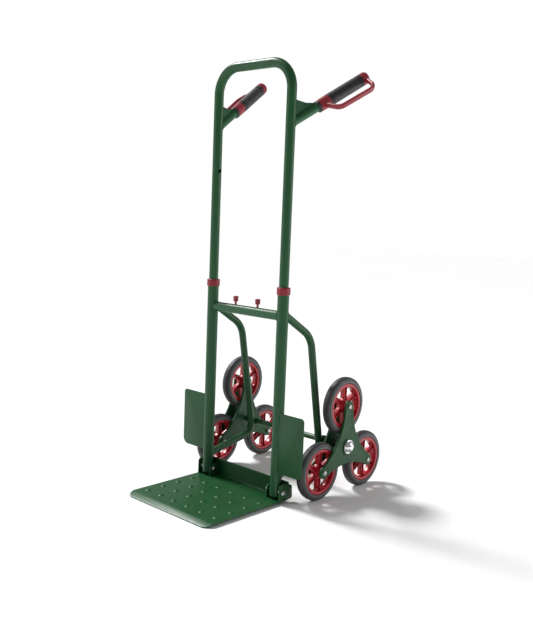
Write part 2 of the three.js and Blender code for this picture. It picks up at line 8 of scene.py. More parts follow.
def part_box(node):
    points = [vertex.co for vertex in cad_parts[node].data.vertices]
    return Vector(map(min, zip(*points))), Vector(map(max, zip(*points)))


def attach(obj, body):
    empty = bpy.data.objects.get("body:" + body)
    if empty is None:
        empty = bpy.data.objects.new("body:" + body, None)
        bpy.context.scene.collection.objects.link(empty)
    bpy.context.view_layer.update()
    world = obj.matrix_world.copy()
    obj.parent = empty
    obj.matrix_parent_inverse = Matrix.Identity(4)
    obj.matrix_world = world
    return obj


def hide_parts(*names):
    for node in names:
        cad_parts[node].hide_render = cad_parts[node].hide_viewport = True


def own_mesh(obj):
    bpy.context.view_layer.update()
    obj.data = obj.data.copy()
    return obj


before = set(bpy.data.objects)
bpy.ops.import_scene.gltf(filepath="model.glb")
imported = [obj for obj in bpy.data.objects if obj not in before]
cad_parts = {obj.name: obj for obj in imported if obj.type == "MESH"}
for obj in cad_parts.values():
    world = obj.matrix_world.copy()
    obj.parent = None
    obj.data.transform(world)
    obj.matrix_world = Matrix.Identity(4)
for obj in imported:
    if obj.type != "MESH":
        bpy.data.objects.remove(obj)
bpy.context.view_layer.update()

# ------------------------------------------------------------------ sizes, in millimetres
# Truck coordinates: x to the right, y behind the plane of the uprights, z above the floor.

MM = 0.001
DEGREE = math.pi / 180


def middle(node):
    low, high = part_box(node)
    return (low + high) / 2


TUBE_PLANE = middle("lower_tube_right").y  # the uprights' plane in the frame, in metres
TUBE_X = middle("lower_tube_right").x / MM
CROSSBAR_Z = middle("crossbar").z / MM
AXLE_Y = (middle("axle").y - TUBE_PLANE) / MM
AXLE_Z = middle("axle").z / MM
TOP_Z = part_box("upper_frame")[1].z / MM
PIVOT_Z = middle("toe_pivot_bolt_right").z / MM
WHEEL_X = middle("tyre_top_right").x / MM
STAR_ARM = (middle("tyre_top_right").z - middle("axle").z) / MM

LOWER_TUBE = {"radius": 15, "bore": 13, "foot": 17, "top": 563}
UPPER_TUBE = {"radius": 12.5, "bore": 10.7, "bottom": 452, "bend": 68, "lock_hole": 859}
CROSSBAR = {"radius": 12.5, "bore": 10.4}
COLLAR = {"radius": 17.8, "bottom": 547, "top": 566}
KNOB = {"x": 41, "stem": 3, "radius": 7, "top": 527, "travel": 10}
SPRING = {"wire": 0.8, "radius": 7.5, "turns": 5}
STRUT = {"radius": 10, "bends": (70, 30), "corners": ((0, 500), (116, 428), (175, 105), (0, 68))}
GUARD = {"inner": 141, "outer": 227.5, "bottom": 82, "top": 242, "y": -9, "thick": 2}
LUG = {"radius": 13, "front": 165, "thick": 5}
AXLE = {"radius": 8, "journal": 7, "end": 221.2}
CAP = {"radius": 19.5, "height": 14}
STAR = {"end": 16, "waist": 47, "sheet": 2.5, "depth": 6.5, "outer": 217, "inner": 169.5}
ARM_ANGLES = {"top": 90 * DEGREE, "front": 210 * DEGREE, "rear": 330 * DEGREE}
TYRE_RADIUS = 78
RIM_RADIUS = 58
SHEET = 2.5
BOLT_HOLE = 4.3
INNER_EAR = 109
PIN_HOLE = 5.4
STITCH = 1.5  # between the points of a short weld bead
SHARP = 38 * DEGREE  # edges that turn more than this stay crisp
TOE = {"half": 157, "front": -266, "fold": -244, "rear": 23.5, "top": 9.5, "corner": 24}
TOE_UPSTAND = {"top": 56.5, "lip": 15.4}
DIMPLE = {"radius": 8.5, "height": 2.6, "columns": 6, "rows": 4, "pitch_x": 52.4, "pitch_y": 52}
GRIP = {"root": 974, "rise": 31 * DEGREE, "splay": 14 * DEGREE, "droop": 16 * DEGREE}
STUB = {"radius": 11, "bore": 9, "end": 96.5}
GRIP_STATIONS = {"spigot": 55, "collar": 97, "sleeve": 129, "cap": 248, "tip": 270}
GRIP_RADIUS = 16.5
LOOP = {"width": 13, "thick": 8, "bend": 12}
LOOP_CORNERS = ((8, 111), (61, 115), (66, 222), (52, 243), (8, 261))  # outward, along the grip

# ------------------------------------------------------------------ camera

CAMERA_PLACE = Vector((1.516, -1.585, 0.756))
CAMERA_YAW, CAMERA_PITCH, CAMERA_ROLL = 43.18 * DEGREE, -7.37 * DEGREE, 2.24 * DEGREE
CAMERA_LENS = 46.32


def new_object(name, data):
    obj = bpy.data.objects.new(name, data)
    bpy.context.scene.collection.objects.link(obj)
    return obj


def add_camera():
    forward = Vector((
        -math.sin(CAMERA_YAW) * math.cos(CAMERA_PITCH),
        math.cos(CAMERA_YAW) * math.cos(CAMERA_PITCH),
        math.sin(CAMERA_PITCH),
    ))
    level = Vector((math.cos(CAMERA_YAW), math.sin(CAMERA_YAW), 0))
    above = level.cross(forward)
    right = level * math.cos(CAMERA_ROLL) + above * math.sin(CAMERA_ROLL)
    up = above * math.cos(CAMERA_ROLL) - level * math.sin(CAMERA_ROLL)
    data = bpy.data.cameras.new("camera")
    data.lens = CAMERA_LENS
    camera = new_object("camera", data)
    turn = Matrix((right, up, -forward)).transposed().to_4x4()
    camera.matrix_world = Matrix.Translation(CAMERA_PLACE) @ turn
    bpy.context.scene.camera = camera


# ------------------------------------------------------------------ shapes


class Form:
    """Points and faces in truck millimetres, from which the pieces are put together."""

    def __init__(self, points=(), faces=()):
        self.points = [Vector(point) for point in points]
        self.faces = [tuple(face) for face in faces]

    def __add__(self, other):
        start = len(self.points)
        joined = Form(self.points + other.points, self.faces)
        joined.faces += [tuple(i + start for i in face) for face in other.faces]
        return joined

    def moved(self, matrix):
        return Form([matrix @ point for point in self.points], self.faces)

    def shifted(self, x=0, y=0, z=0):
        return self.moved(Matrix.Translation((x, y, z)))

    def for_side(self, side):
        return self.moved(Matrix.Diagonal((side, 1, 1, 1)))


def polar(radius, angle, centre=(0, 0)):
    return (centre[0] + radius * math.cos(angle), centre[1] + radius * math.sin(angle))


def circle(radius, sides=32):
    return [polar(radius, 2 * math.pi * i / sides) for i in range(sides)]


def arc(centre, radius, start, end, steps):
    """Points of a circular arc in a plane, from one angle to another, in degrees."""
    angles = [(start + (end - start) * i / steps) * DEGREE for i in range(steps + 1)]
    return [polar(radius, angle, centre) for angle in angles]


def skin(rings, closed=False):
    """The faces between rings of point numbers, from each ring to the next."""
    faces = []
    for lower, upper in zip(rings, rings[1:] + (rings[:1] if closed else [])):
        count = len(lower)
        faces += [(lower[i], lower[(i + 1) % count], upper[(i + 1) % count], upper[i])
                  for i in range(count)]
    return faces


AXIS_TURNS = {
    "X": Matrix(((0, 0, 1, 0), (1, 0, 0, 0), (0, 1, 0, 0), (0, 0, 0, 1))),
    "Y": Matrix(((0, 1, 0, 0), (0, 0, 1, 0), (1, 0, 0, 0), (0, 0, 0, 1))),
    "Z": Matrix.Identity(4),
}


def turned(profile, axis, sides=48):
    """A turned solid. The profile lists (distance along the axis, radius)."""
    points, rings = [], []
    for along, radius in profile:
        if radius == 0:
            rings.append([len(points)] * sides)
            points.append((0, 0, along))
        else:
            rings.append(list(range(len(points), len(points) + sides)))
            points += [(x, y, along) for x, y in circle(radius, sides)]
    faces = [list(dict.fromkeys(face)) for face in skin(rings, closed=profile[0][1] != 0)]
    return Form(points, [face for face in faces if len(face) > 2]).moved(AXIS_TURNS[axis])


def rod(axis, start, end, radius, sides=48, edge=0.0):
    """A plain round bar, with its two rims rounded off by `edge`."""
    if edge == 0:
        return turned([(start, 0), (start, radius), (end, radius), (end, 0)], axis, sides)
    rims = [(start, 0), (start, radius - edge), (start + edge, radius)]
    rims += [(end - edge, radius), (end, radius - edge), (end, 0)]
    return turned(rims, axis, sides)


def hexagon(axis, start, end, across):
    """A nut: a hexagon between two stations, with its corners taken off by a turned cone."""
    radius = across / math.sqrt(3)
    chamfer = 0.8
    profile = [(start, 0), (start, across / 2), (start + chamfer, radius)]
    profile += [(end - chamfer, radius), (end, across / 2), (end, 0)]
    return turned(profile, axis, 6)


def bend(corner, before, after, radius, steps):
    """A circular bend in place of a corner: (point, direction) at each station."""
    turn = before.angle(after)
    start = corner - before * radius * math.tan(turn / 2)
    inward = (after - before * after.dot(before)).normalized()
    stations = []
    for i in range(steps + 1):
        angle = turn * i / steps
        point = start + before * radius * math.sin(angle)
        point += inward * radius * (1 - math.cos(angle))
        stations.append((point, before * math.cos(angle) + inward * math.sin(angle)))
    return stations


def bent(corners, radii, steps=10):
    """A route of straight stretches joined by circular bends: (point, direction) at each station."""
    corners = [Vector(corner) for corner in corners]
    ways = [(b - a).normalized() for a, b in zip(corners, corners[1:])]
    stations = [(corners[0], ways[0])]
    for corner, before, after, radius in zip(corners[1:], ways, ways[1:], radii):
        stations += bend(corner, before, after, radius, steps)
    return stations + [(corners[-1], ways[-1])]


def swept(stations, section, across, bore=None):
    """A section carried along a route. `across` is square to every direction of a flat route."""
    across = Vector(across).normalized()
    points, faces, walls = [], [], []
    for outline in (section, bore) if bore else (section,):
        rings = []
        for place, way in stations:
            other = way.cross(across).normalized()
            rings.append(list(range(len(points), len(points) + len(outline))))
            points += [place + across * a + other * b for a, b in outline]
        faces += skin(rings)
        walls.append(rings)
    for end in (0, -1):
        faces += skin([wall[end] for wall in walls]) if bore else [tuple(walls[0][end])]
    return Form(points, faces)


def rounded(corners, radii, steps=6):
    """A flat outline with round corners. A corner of radius 0 stays sharp."""
    points = []
    count = len(corners)
    radii = [radii] * count if isinstance(radii, (int, float)) else radii
    for i, radius in enumerate(radii):
        corner = Vector(corners[i])
        if radius == 0:
            points.append(tuple(corner))
            continue
        before = (corner - Vector(corners[i - 1])).normalized()
        after = (Vector(corners[(i + 1) % count]) - corner).normalized()
        points += [tuple(point) for point, _ in bend(corner, before, after, radius, steps)]
    return points


def grown(corners, distance):
    """A convex outline with every edge moved outward."""
    count = len(corners)
    area = sum(corners[i - 1][0] * corners[i][1] - corners[i][0] * corners[i - 1][1]
               for i in range(count))
    sign = 1 if area > 0 else -1
    moved = []
    for i in range(count):
        before = (Vector(corners[i]) - Vector(corners[i - 1])).normalized()
        after = (Vector(corners[(i + 1) % count]) - Vector(corners[i])).normalized()
        normals = [Vector((way.y, -way.x)) * sign for way in (before, after)]
        mitre = (normals[0] + normals[1]).normalized()
        moved.append(tuple(Vector(corners[i]) + mitre * distance / mitre.dot(normals[0])))
    return moved


def evaluated(obj):
    """The object's mesh with its modifiers, as a Form; the object itself is then removed."""
    graph = bpy.context.evaluated_depsgraph_get()
    mesh = bpy.data.meshes.new_from_object(obj.evaluated_get(graph))
    body = bmesh.new()
    body.from_mesh(mesh)
    bmesh.ops.remove_doubles(body, verts=body.verts, dist=0.0005)
    body.to_mesh(mesh)
    body.free()
    form = Form([v.co for v in mesh.vertices], [tuple(p.vertices) for p in mesh.polygons])
    data = obj.data
    bpy.data.objects.remove(obj)
    if isinstance(data, bpy.types.Mesh):
        bpy.data.meshes.remove(data)
    else:
        bpy.data.curves.remove(data)
    bpy.data.meshes.remove(mesh)
    return form


def plate(outline, thick, edge=0.4, holes=(), resolution=1):
    """A flat plate in the XY plane, centred on z = 0, with rounded edges."""
    curve = bpy.data.curves.new("plate", "CURVE")
    curve.dimensions = "2D"
    curve.fill_mode = "BOTH"
    curve.extrude = thick / 2 - edge
    curve.bevel_depth = edge
    curve.bevel_resolution = resolution
    curve.offset = -edge
    for ring in (outline, *holes):
        spline = curve.splines.new("POLY")
        spline.points.add(len(ring) - 1)
        for point, (x, y) in zip(spline.points, ring):
            point.co = (x, y, 0, 1)
        spline.use_cyclic_u = True
    return evaluated(new_object("plate", curve))


def plate_x(outline, start, end, edge=0.4, holes=()):
    """A plate whose outline is in (y, z), between two stations on the X axis."""
    flat = plate(outline, end - start, edge, holes)
    return flat.moved(AXIS_TURNS["X"]).shifted(x=(start + end) / 2)


def outward_mesh(name, points, faces):
    """A mesh with every face turned outward."""
    mesh = bpy.data.meshes.new(name)
    mesh.from_pydata(points, [], faces)
    body = bmesh.new()
    body.from_mesh(mesh)
    bmesh.ops.recalc_face_normals(body, faces=body.faces)
    body.to_mesh(mesh)
    body.free()
    return mesh


def temporary(form):
    return new_object("work", outward_mesh("work", form.points, form.faces))


def combined(form, tools, operation):
    target = temporary(form)
    cutters = [temporary(tool) for tool in tools]
    for cutter in cutters:
        modifier = target.modifiers.new("combine", "BOOLEAN")
        modifier.object = cutter
        modifier.operation = operation
        modifier.solver = "EXACT"
    result = evaluated(target)
    for cutter in cutters:
        mesh = cutter.data
        bpy.data.objects.remove(cutter)
        bpy.data.meshes.remove(mesh)
    return result


def carved(form, *tools):
    return combined(form, tools, "DIFFERENCE")


def kept_inside(form, tool):
    return combined(form, (tool,), "INTERSECT")


def bevelled(form, width, segments, angle):
    obj = temporary(form)
    modifier = obj.modifiers.new("bevel", "BEVEL")
    modifier.width = width
    modifier.segments = segments
    modifier.limit_method = "ANGLE"
    modifier.angle_limit = angle * DEGREE
    return evaluated(obj)


# ------------------------------------------------------------------ welds


def bead(route, radius, closed=True, ripple=7.0):
    """A weld bead along a route of points, with the small overlapping scales of a weld."""
    centre = sum(route, Vector()) / len(route)
    count = len(route)
    points = []
    sides = 8
    travelled = 0
    for i, place in enumerate(route):
        before = route[i - 1] if closed or i > 0 else place
        after = route[(i + 1) % count] if closed or i < count - 1 else place
        way = (after - before).normalized()
        outward = place - centre
        outward = (outward - way * outward.dot(way)).normalized()
        other = way.cross(outward)
        travelled += (place - before).length
        scale = 1 + 0.16 * math.sin(travelled * 2 * math.pi / ripple * 2)
        ends_taper = 1 if closed else min(1, 0.45 + 0.5 * min(i, count - 1 - i))
        size = radius * scale * ends_taper
        points += [place + outward * size * math.cos(a) + other * size * math.sin(a)
                   for a in (2 * math.pi * k / sides for k in range(sides))]
    rings = [range(start, start + sides) for start in range(0, len(points), sides)]
    faces = skin(rings, closed)
    if not closed:
        faces += [tuple(rings[0]), tuple(rings[-1])]
    return Form(points, faces)


def saddle(start, direction, radius, tube_x, tube_radius, steps=56):
    """The line where a round bar meets an upright."""
    start = Vector(start)
    way = Vector(direction).normalized()
    side = way.orthogonal().normalized()
    other = way.cross(side)
    route = []
    for i in range(steps):
        angle = 2 * math.pi * i / steps
        place = start + (side * math.cos(angle) + other * math.sin(angle)) * radius
        dx, dy = place.x - tube_x, place.y
        a = way.x ** 2 + way.y ** 2
        b = 2 * (dx * way.x + dy * way.y)
        c = dx ** 2 + dy ** 2 - tube_radius ** 2
        root = math.sqrt(max(0.0, b * b - 4 * a * c))
        route.append(place + way * (-b + root) / (2 * a))
    return route


# ------------------------------------------------------------------ materials


class Nodes:
    """Short ways to add and link the nodes of one material."""

    def __init__(self, name):
        self.material = bpy.data.materials.new(name)
        self.material.use_nodes = True
        self.tree = self.material.node_tree
        self.shader = self.tree.nodes["Principled BSDF"]
        self.place = self.add("ShaderNodeTexCoord").outputs["Object"]

    def add(self, kind, **settings):
        node = self.tree.nodes.new(kind)
        for key, value in settings.items():
            setattr(node, key, value)
        return node

    def link(self, output, socket):
        self.tree.links.new(output, socket)

    def noise(self, scale, detail, roughness=0.5):
        node = self.add("ShaderNodeTexNoise")
        node.inputs["Scale"].default_value = scale
        node.inputs["Detail"].default_value = detail
        node.inputs["Roughness"].default_value = roughness
        self.link(self.place, node.inputs["Vector"])
        return node.outputs["Fac"]

    def spread(self, value, low, high, to_low=0.0, to_high=1.0):
        node = self.add("ShaderNodeMapRange")
        for key, number in (("From Min", low), ("From Max", high),
                            ("To Min", to_low), ("To Max", to_high)):
            node.inputs[key].default_value = number
        self.link(value, node.inputs["Value"])
        return node.outputs["Result"]

    def drift(self, scale, detail, roughness=0.5, low=0.0, high=1.0):
        """A slow, even variation between two numbers."""
        return self.spread(self.noise(scale, detail, roughness), 0.3, 0.7, low, high)

    def mix(self, factor, first, second):
        """A colour between two others, which are colours or outputs."""
        node = self.add("ShaderNodeMix", data_type="RGBA")
        self.link(factor, node.inputs[0])
        for socket, colour in ((node.inputs[6], first), (node.inputs[7], second)):
            if isinstance(colour, tuple):
                socket.default_value = (*colour, 1)
            else:
                self.link(colour, socket)
        return node.outputs[2]

    def mottled(self, scale, detail, first, second, roughness=0.5):
        """A colour that drifts between two others."""
        return self.mix(self.drift(scale, detail, roughness), first, second)

    def painted_edge_highlight(self, colour, pale, amount, low=0.52, high=0.62):
        """A colour with a painted highlight: paler on outer edges."""
        pointiness = self.add("ShaderNodeNewGeometry").outputs["Pointiness"]
        return self.mix(self.spread(pointiness, low, high, 0.0, amount), colour, pale)

    def absolute(self, value):
        node = self.add("ShaderNodeMath", operation="ABSOLUTE")
        self.link(value, node.inputs[0])
        return node.outputs["Value"]

    def bump(self, height, strength, distance):
        node = self.add("ShaderNodeBump")
        node.inputs["Strength"].default_value = strength
        node.inputs["Distance"].default_value = distance
        self.link(height, node.inputs["Height"])
        return node.outputs["Normal"]

    def finish(self, colour, roughness, normal=None, **constants):
        self.link(colour, self.shader.inputs["Base Color"])
        self.link(roughness, self.shader.inputs["Roughness"])
        if normal:
            self.link(normal, self.shader.inputs["Normal"])
        for name, value in constants.items():
            self.shader.inputs[name.replace("_", " ")].default_value = value
        return self.material


def green_paint():
    """Semi-gloss dark green powder coat, with its fine orange peel and a painted highlight that makes
    the edges paler.
    """
    n = Nodes("green_powder_coat")
    colour = n.mottled(11, 4, (0.006, 0.06, 0.0145), (0.0085, 0.076, 0.0195))
    speck = n.spread(n.noise(1400, 1), 0.62, 0.8, 0.0, 0.35)
    colour = n.mix(speck, colour, (0.013, 0.1, 0.03))
    # Painted highlight: the edges are mixed towards a paler green.
    colour = n.painted_edge_highlight(colour, (0.034, 0.16, 0.068), 0.35)
    roughness = n.drift(60, 4, 0.6, 0.33, 0.44)
    peel = n.bump(n.noise(620, 2, 0.4), 0.16, 0.0004)
    return n.finish(colour, roughness, peel, Specular_IOR_Level=0.36)


def red_plastic():
    """Moulded red plastic of the collars, knobs and grip cores."""
    n = Nodes("red_moulded_plastic")
    colour = n.mottled(26, 3, (0.24, 0.011, 0.022), (0.3, 0.014, 0.028))
    # Painted highlight: the edges are mixed towards a paler red.
    colour = n.painted_edge_highlight(colour, (0.5, 0.06, 0.08), 0.3)
    roughness = n.drift(240, 3, low=0.32, high=0.46)
    grain = n.bump(n.noise(1700, 2), 0.12, 0.0002)
    return n.finish(colour, roughness, grain, Specular_IOR_Level=0.5)


def rim_plastic():
    """Deep glossy red of the moulded wheels, with a painted highlight that makes the edges a little
    paler.
    """
    n = Nodes("deep_red_wheel_plastic")
    colour = n.mottled(34, 3, (0.38, 0.008, 0.018), (0.47, 0.012, 0.028))
    # Painted highlight: the edges are mixed towards a paler red.
    colour = n.painted_edge_highlight(colour, (0.62, 0.07, 0.085), 0.4, 0.53, 0.66)
    roughness = n.drift(150, 4, low=0.2, high=0.34)
    flow = n.bump(n.noise(420, 2), 0.08, 0.0003)
    return n.finish(colour, roughness, flow, Coat_Weight=0.25, Coat_Roughness=0.12)


def grip_rubber():
    """Soft near-black grip rubber with a fine pebble texture."""
    n = Nodes("black_grip_rubber")
    colour = n.mottled(40, 4, (0.009, 0.0085, 0.0085), (0.017, 0.016, 0.0155))
    pebble = n.add("ShaderNodeTexVoronoi")
    pebble.inputs["Scale"].default_value = 900
    n.link(n.place, pebble.inputs["Vector"])
    raised = n.spread(pebble.outputs["Distance"], 0.0, 0.6, 1.0, 0.0)
    colour = n.mix(n.spread(raised, 0.4, 1.0, 0.0, 0.25), colour, (0.035, 0.033, 0.032))
    roughness = n.drift(320, 3, low=0.42, high=0.58)
    grain = n.bump(raised, 0.22, 0.0003)
    return n.finish(colour, roughness, grain, Sheen_Weight=0.12)


def black_plastic():
    n = Nodes("black_moulded_plastic")
    colour = n.mottled(60, 3, (0.010, 0.012, 0.010), (0.022, 0.025, 0.022))
    roughness = n.drift(300, 3, low=0.42, high=0.58)
    grain = n.bump(n.noise(1500, 2), 0.14, 0.0002)
    return n.finish(colour, roughness, grain)


def tyre_rubber():
    """Dark solid rubber with a painted highlight that makes the flat side walls paler, a dusty bloom
    and fine moulding grain.
    """
    n = Nodes("solid_tyre_rubber")
    drift = n.spread(n.noise(28, 5, 0.65), 0.32, 0.68)
    colour = n.mix(drift, (0.016, 0.017, 0.018), (0.032, 0.033, 0.035))
    dust = n.spread(n.noise(520, 3, 0.7), 0.55, 0.8, 0.0, 0.4)
    colour = n.mix(dust, colour, (0.10, 0.10, 0.104))
    # Painted highlight: faces that point along the axle, the flat side walls, are mixed towards a paler
    # grey.
    normal = n.add("ShaderNodeSeparateXYZ")
    n.link(n.add("ShaderNodeTexCoord").outputs["Normal"], normal.inputs[0])
    wall = n.spread(n.absolute(normal.outputs["X"]), 0.9, 0.99, 0.0, 0.75)
    colour = n.mix(wall, colour, (0.15, 0.15, 0.152))
    roughness = n.drift(130, 4, low=0.46, high=0.64)
    grain = n.bump(n.noise(1300, 3, 0.6), 0.22, 0.0003)
    return n.finish(colour, roughness, grain, Specular_IOR_Level=0.55)


def zinc_steel():
    """Zinc-plated steel with its cloudy spangle and fine turning marks."""
    n = Nodes("zinc_plated_steel")
    colour = n.mottled(180, 5, (0.5, 0.5, 0.47), (0.72, 0.73, 0.72), 0.6)
    roughness = n.drift(420, 4, low=0.24, high=0.44)
    marks = n.bump(n.noise(1600, 2), 0.14, 0.0001)
    return n.finish(colour, roughness, marks, Metallic=1.0)


def chrome():
    """Bright chrome with faint polishing haze."""
    n = Nodes("bright_chrome")
    colour = n.mottled(70, 4, (0.78, 0.79, 0.81), (0.88, 0.89, 0.9))
    roughness = n.spread(n.noise(260, 5, 0.7), 0.35, 0.75, 0.04, 0.1)
    polish = n.bump(n.noise(120, 2), 0.01, 0.0001)
    return n.finish(colour, roughness, polish, Metallic=1.0)


def spring_steel():
    n = Nodes("spring_steel")
    colour = n.mottled(240, 4, (0.2, 0.2, 0.21), (0.36, 0.36, 0.37))
    roughness = n.drift(500, 3, low=0.3, high=0.5)
    return n.finish(colour, roughness, Metallic=1.0)


MATERIALS = {
    "green_paint": green_paint(),
    "red_plastic": red_plastic(),
    "rim_plastic": rim_plastic(),
    "grip_rubber": grip_rubber(),
    "black_plastic": black_plastic(),
    "tyre_rubber": tyre_rubber(),
    "zinc_steel": zinc_steel(),
    "chrome_cap": chrome(),
    "spring_steel": spring_steel(),
}

# ------------------------------------------------------------------ pieces


def add_piece(node, form, body, slot):
    """A finished piece that rides on a body. It stands in for the CAD node of its name, if any."""
    places = [(p.x * MM, p.y * MM + TUBE_PLANE, p.z * MM) for p in form.points]
    mesh = outward_mesh(f"{node}_fine", places, form.faces)
    mesh.shade_smooth()
    mesh.set_sharp_from_angle(angle=SHARP)
    mesh.materials.append(MATERIALS[slot])
    piece = new_object(f"{node}_fine", mesh)
    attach(piece, body)
    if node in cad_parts:
        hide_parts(node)
    return piece


def tube_room(radius, bottom=0, top=TOP_Z):
    """The room that a welded piece leaves for the upright on the right."""
    return rod("Z", bottom, top, radius, 64).shifted(x=TUBE_X)


def pin_hole(height):
    """The lock pin's way through the inner wall of an upright."""
    return rod("X", TUBE_X - 20, TUBE_X - 4, PIN_HOLE, 32).shifted(z=height)


def lower_tube():
    radius, bore = LOWER_TUBE["radius"], LOWER_TUBE["bore"]
    foot, top = LOWER_TUBE["foot"], LOWER_TUBE["top"]
    edge = 0.6
    profile = [
        (foot, bore + edge), (foot, radius - edge), (foot + edge, radius), (top - edge, radius),
        (top, radius - edge), (top, bore + edge), (top - edge, bore), (foot + edge, bore),
    ]
    tube = turned(profile, "Z", 56).shifted(x=TUBE_X)
    pivot = rod("X", TUBE_X - 25, TUBE_X + 25, BOLT_HOLE, 24).shifted(z=PIVOT_Z)
    return carved(tube, pivot, pin_hole(CROSSBAR_Z))


def crossbar():
    radius, bore = CROSSBAR["radius"], CROSSBAR["bore"]
    end = TUBE_X - 6
    tube = turned([(-end, bore), (-end, radius), (end, radius), (end, bore)], "X", 56)
    half = KNOB["stem"] + 0.7
    first = KNOB["x"] - KNOB["travel"]
    outline = rounded([
        (first - half, -half), (KNOB["x"] + half, -half), (KNOB["x"] + half, half),
        (first - half, half),
    ], half * 0.98, 8)
    slot = plate(outline, 12, 0.01).shifted(z=radius)
    room = rod("Z", -40, 40, LOWER_TUBE["radius"] - 0.8, 56).shifted(x=TUBE_X)
    bar = carved(tube, slot, slot.for_side(-1), room, room.for_side(-1))
    return bar.shifted(z=CROSSBAR_Z)


def crossbar_welds():
    radius = CROSSBAR["radius"] + 0.6
    route = saddle((TUBE_X, 0, CROSSBAR_Z), (-1, 0, 0), radius, TUBE_X, LOWER_TUBE["radius"] + 0.3)
    return bead(route, 1.9)


def strut_stations():
    corners = [(TUBE_X, y, z) for y, z in STRUT["corners"]]
    return bent(corners, STRUT["bends"], 14)


def strut():
    tube = swept(strut_stations(), circle(STRUT["radius"], 36), (1, 0, 0))
    return carved(tube, tube_room(LOWER_TUBE["radius"] - 0.8))


def strut_welds():
    corners = STRUT["corners"]
    tube_radius = LOWER_TUBE["radius"] + 0.3
    welds = Form()
    for end, bend in ((corners[0], corners[1]), (corners[3], corners[2])):
        way = (0, bend[0] - end[0], bend[1] - end[1])
        start = (TUBE_X, *end)
        welds += bead(saddle(start, way, STRUT["radius"] + 0.5, TUBE_X, tube_radius), 1.7)
    return welds


def axle_lug():
    radius, front = LUG["radius"], LUG["front"]
    outline = arc((AXLE_Y, AXLE_Z), radius, -90, 90, 24)
    outline += [(front, AXLE_Z + radius + 3), (front, AXLE_Z - radius - 3)]
    half = LUG["thick"] / 2
    hole = [(AXLE_Y + y, AXLE_Z + z) for y, z in circle(AXLE["radius"] + 0.3)]
    return plate_x(outline, TUBE_X - half, TUBE_X + half, 0.7, [hole])


def lug_welds():
    """Short beads where the lug meets the strut's lower bend, on both sides."""
    welds = Form()
    for offset in (-1, 1):
        x = TUBE_X + offset * (LUG["thick"] / 2 + 0.8)
        route = [Vector((x, LUG["front"] + 14.5 + 1.6 * math.cos(i * 0.35), AXLE_Z - 9 + i * STITCH))
                 for i in range(13)]
        welds += bead(route, 1.8, closed=False)
    return welds


def wheel_guard():
    inner, outer, bottom, top = (GUARD[key] for key in ("inner", "outer", "bottom", "top"))
    corners = [(inner, bottom), (outer, bottom), (outer, top), (inner, top)]
    outline = rounded(corners, [0, 18, 10, 0], 12)
    upright = Matrix.Rotation(math.pi / 2, 4, "X")
    sheet = plate(outline, GUARD["thick"], 0.5, resolution=2).moved(upright).shifted(y=GUARD["y"])
    return carved(sheet, tube_room(LOWER_TUBE["radius"] - 0.7, 60, 260))


def guard_welds():
    """Three stitches of weld down the guard's inner edge, front and back."""
    welds = Form()
    height = GUARD["top"] - GUARD["bottom"]
    for part in (0.1, 0.5, 0.9):
        middle_z = GUARD["bottom"] + height * part
        for y, x in ((GUARD["y"] - 1.2, TUBE_X + 11.3), (GUARD["y"] + 1.4, TUBE_X + 13.2)):
            route = [Vector((x, y, middle_z - 9 + i * STITCH)) for i in range(13)]
            welds += bead(route, 1.5, closed=False)
    return welds


def slide_collar():
    radius, bottom, top = COLLAR["radius"], COLLAR["bottom"], COLLAR["top"]
    seat, lip = LOWER_TUBE["radius"] + 0.15, LOWER_TUBE["top"] + 0.2
    throat = UPPER_TUBE["radius"] + 0.35
    profile = [(bottom, seat), (bottom, radius - 1.0), (bottom + 0.9, radius)]
    profile += [(bottom + 3.2, radius), (bottom + 3.6, radius - 0.7), (bottom + 4.4, radius - 0.7)]
    profile += [(bottom + 4.8, radius - 0.1)]
    profile += [(z, r) for r, z in arc((radius - 2.6, top - 2.5), 2.4, 0, 90, 6)]
    profile += [(top, throat + 0.6), (top - 0.6, throat), (lip, throat), (lip, seat)]
    return turned(profile, "Z", 64).shifted(x=TUBE_X)


def lock_knob():
    stem, radius, top = KNOB["stem"], KNOB["radius"], KNOB["top"]
    foot = CROSSBAR_Z + 1
    head = top - 14
    profile = [(foot, 0), (foot, stem), (head, stem), (head, radius - 1), (head + 0.8, radius - 0.3)]
    profile += [(head + 4, radius - 0.2), (head + 4.4, radius - 0.9), (head + 5.2, radius - 0.9)]
    profile += [(head + 5.6, radius - 0.1), (top - 4.4, radius)]
    profile += [(z, r) for r, z in arc((radius - 2.2, top - 2.2), 2.2, 0, 90, 6)]
    profile += [(top, radius - 3.5), (top - 0.4, radius - 3.9), (top - 0.4, 0)]
    return turned(profile, "Z", 40).shifted(x=KNOB["x"])


def lock_spring(start, end):
    """A coil spring round the crossbar's axis, with its last half turns closed up."""
    wire, coil, turns = SPRING["wire"], SPRING["radius"], SPRING["turns"]
    steps = 24 * turns
    stations = []
    for i in range(steps + 1):
        part = i / steps
        angle = 2 * math.pi * turns * part
        eased = part - 0.35 * math.sin(2 * math.pi * part) / (2 * math.pi)
        x = start + wire + (end - start - 2 * wire) * eased
        place = Vector((x, coil * math.cos(angle), coil * math.sin(angle)))
        stations.append((place, Vector((0, -math.sin(angle), math.cos(angle)))))
    section = circle(wire, 8)
    return swept(stations, section, (1, 0, 0)).shifted(z=CROSSBAR_Z)


def axle():
    journal, radius, end = AXLE["journal"], AXLE["radius"], AXLE["end"]
    shoulder = STAR["inner"] - 0.3
    half = [(shoulder - 0.6, radius), (shoulder, radius - 0.6), (shoulder, journal)]
    half += [(end - 0.8, journal), (end, journal - 0.8), (end, 0)]
    profile = [(-x, r) for x, r in reversed(half)] + half
    return at_axle(turned(profile, "X", 48))


